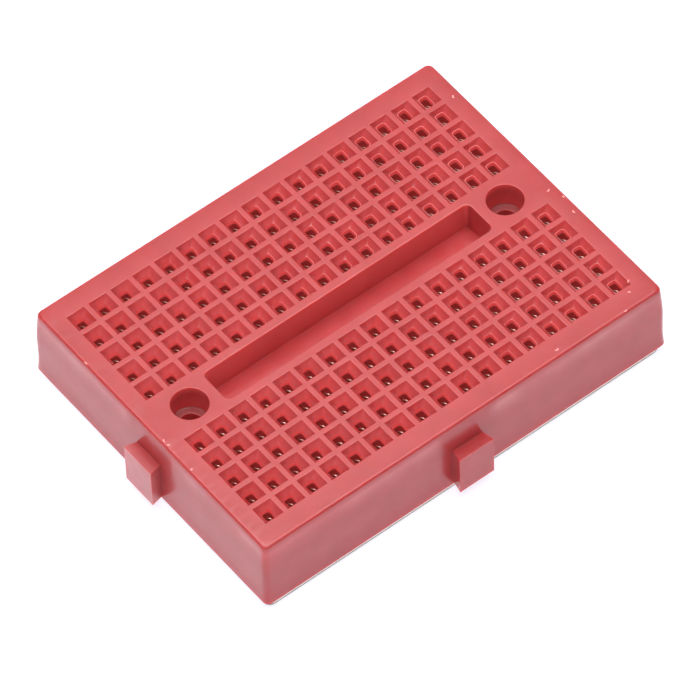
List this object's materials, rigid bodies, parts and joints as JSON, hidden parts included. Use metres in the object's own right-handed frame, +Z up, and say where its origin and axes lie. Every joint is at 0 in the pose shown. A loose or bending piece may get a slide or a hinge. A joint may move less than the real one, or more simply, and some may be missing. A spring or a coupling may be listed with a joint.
{
  "type": "mini solderless breadboard",
  "caption": "Small red prototyping board: square tie points in two blocks beside a central ravine, side dovetails, hidden spring contact clips and an adhesive foam base.",
  "frame": {"origin": "centre of the underside, on the release liner's lower face, under the middle of the tie-point grid", "axes": "+X along the columns' row (the longest side), +Z up through the tie points; the two tabs point to -X and -Y"},
  "size_m": [0.0482, 0.0362, 0.0094],
  "materials": {
    "housing_plastic": "satin moulded ABS, slightly translucent",
    "contact_metal": "nickel-plated spring bronze",
    "foam": "matt closed-cell foam tape",
    "liner_paper": "smooth coated paper"
  },
  "bodies": {
    "board": {"housing": "housing_plastic", "contact_clip_a01": "contact_metal", "contact_clip_a02": "contact_metal", "contact_clip_a03": "contact_metal", "contact_clip_a04": "contact_metal", "contact_clip_a05": "contact_metal", "contact_clip_a06": "contact_metal", "contact_clip_a07": "contact_metal", "contact_clip_a08": "contact_metal", "contact_clip_a09": "contact_metal", "contact_clip_a10": "contact_metal", "contact_clip_a11": "contact_metal", "contact_clip_a12": "contact_metal", "contact_clip_a13": "contact_metal", "contact_clip_a14": "contact_metal", "contact_clip_a15": "contact_metal", "contact_clip_a16": "contact_metal", "contact_clip_a17": "contact_metal", "contact_clip_b01": "contact_metal", "contact_clip_b02": "contact_metal", "contact_clip_b03": "contact_metal", "contact_clip_b04": "contact_metal", "contact_clip_b05": "contact_metal", "contact_clip_b06": "contact_metal", "contact_clip_b07": "contact_metal", "contact_clip_b08": "contact_metal", "contact_clip_b09": "contact_metal", "contact_clip_b10": "contact_metal", "contact_clip_b11": "contact_metal", "contact_clip_b12": "contact_metal", "contact_clip_b13": "contact_metal", "contact_clip_b14": "contact_metal", "contact_clip_b15": "contact_metal", "contact_clip_b16": "contact_metal", "contact_clip_b17": "contact_metal", "foam_pad": "foam"},
    "liner": {"release_liner": "liner_paper"}
  },
  "joints": [
    {"name": "liner_peel", "type": "hinge", "parent": "board", "child": "liner", "pos_m": [-0.02314, 0, 0.0001], "axis": [0, 1, 0], "range_deg": [0, 180]}
  ]
}
